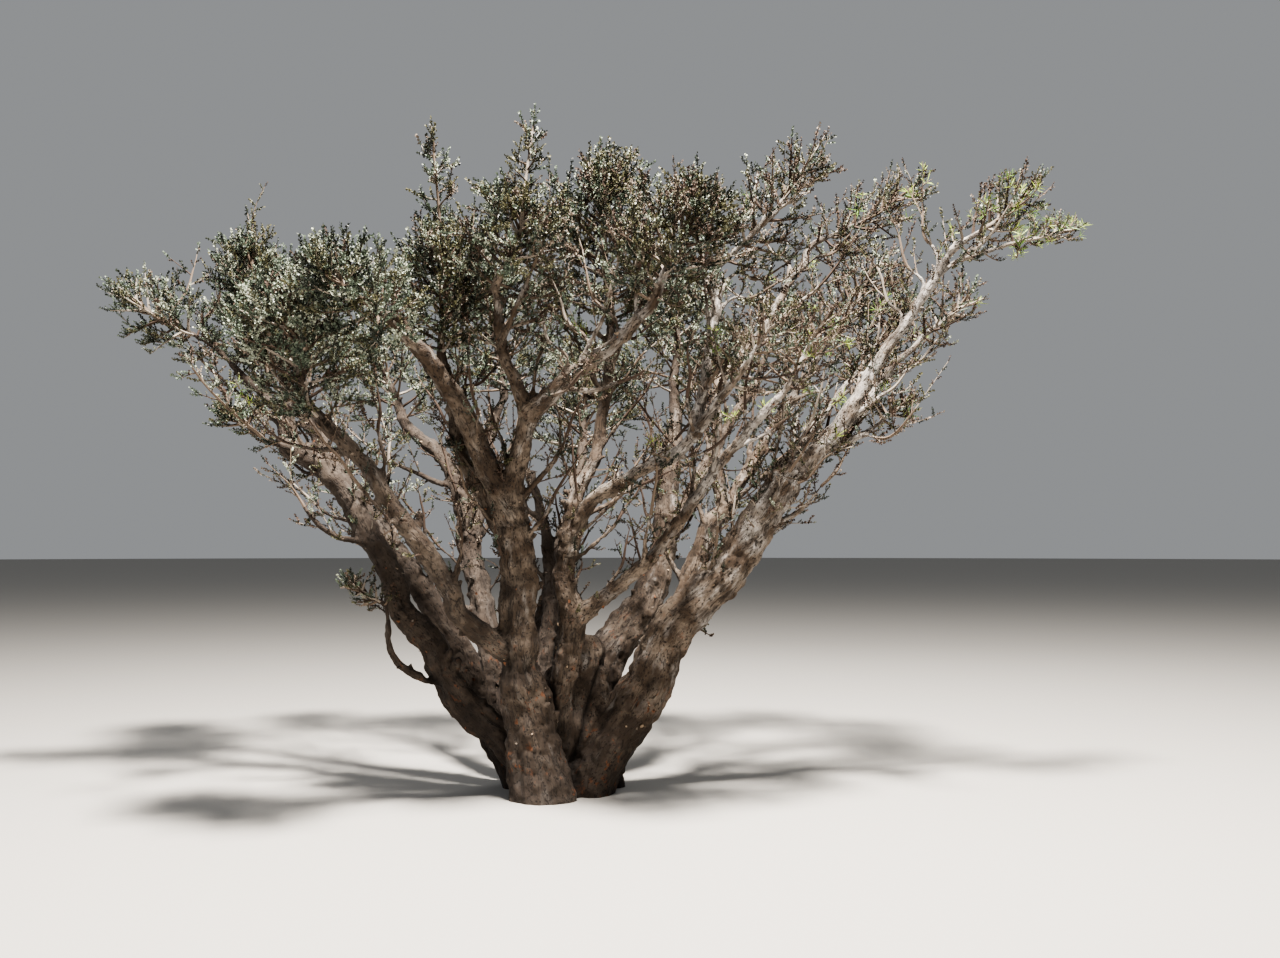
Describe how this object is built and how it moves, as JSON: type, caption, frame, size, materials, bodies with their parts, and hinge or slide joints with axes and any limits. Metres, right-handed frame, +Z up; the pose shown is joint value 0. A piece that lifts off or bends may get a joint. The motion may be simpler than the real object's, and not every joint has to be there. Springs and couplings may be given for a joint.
{
  "type": "frankincense tree",
  "caption": "Many-stemmed desert tree: stems fan out like a vase from one short flared trunk and fork into boughs with masses of short leafy shoots.",
  "frame": {"origin": "centre of the trunk's flat cut at ground level", "axes": "+Z up; +X to the right and +Y away from the viewer in the picture"},
  "size_m": [6.3898, 4.3367, 4.1652],
  "materials": {
    "bark": "matt grey-brown bark with orange-brown flakes",
    "leaves": "matt grey-green leaves on thin twigs"
  },
  "bodies": {
    "root": {"back_fork_leaves": "leaves", "back_leaves": "leaves", "back_left_leaves": "leaves", "back_left_riser": "bark", "back_left_stem": "bark", "back_right_bough": "bark", "back_right_leaves": "leaves", "back_right_stem": "bark", "back_riser_leaves": "leaves", "back_stem": "bark", "brown_bough": "bark", "brown_leaves": "leaves", "centre_right_bough": "bark", "centre_right_leaves": "leaves", "centre_riser": "bark", "centre_stem": "bark", "centre_top_leaves": "leaves", "fork_left_bough": "bark", "fork_left_leaves": "leaves", "fork_right_bough": "bark", "fork_right_leaves": "leaves", "front_left_bough": "bark", "front_left_leaves": "leaves", "front_left_riser": "bark", "front_mid_limb": "bark", "front_right_bough": "bark", "front_right_leaves": "leaves", "front_stem": "bark", "front_top_bough": "bark", "front_top_leaves": "leaves", "inner_stem": "bark", "left_bough": "bark", "left_inner_leaves": "leaves", "left_inner_stem": "bark", "left_mid_leaves": "leaves", "left_outer_stem": "bark", "left_rise_bough": "bark", "left_rise_leaves": "leaves", "left_spur": "bark", "left_spur_leaves": "leaves", "left_tip_bough": "bark", "left_tip_leaves": "leaves", "low_spur": "bark", "low_spur_leaves": "leaves", "right_fork_limb": "bark", "right_inner_bough": "bark", "right_inner_leaves": "leaves", "right_low_bough": "bark", "right_low_leaves": "leaves", "right_main_bough": "bark", "right_main_leaves": "leaves", "right_spur": "bark", "right_spur_leaves": "leaves", "right_stem": "bark", "right_tip_bough": "bark", "right_tip_leaves": "leaves", "right_top_bough": "bark", "right_top_leaves": "leaves", "riser_leaves": "leaves", "trunk": "bark"}
  },
  "joints": []
}
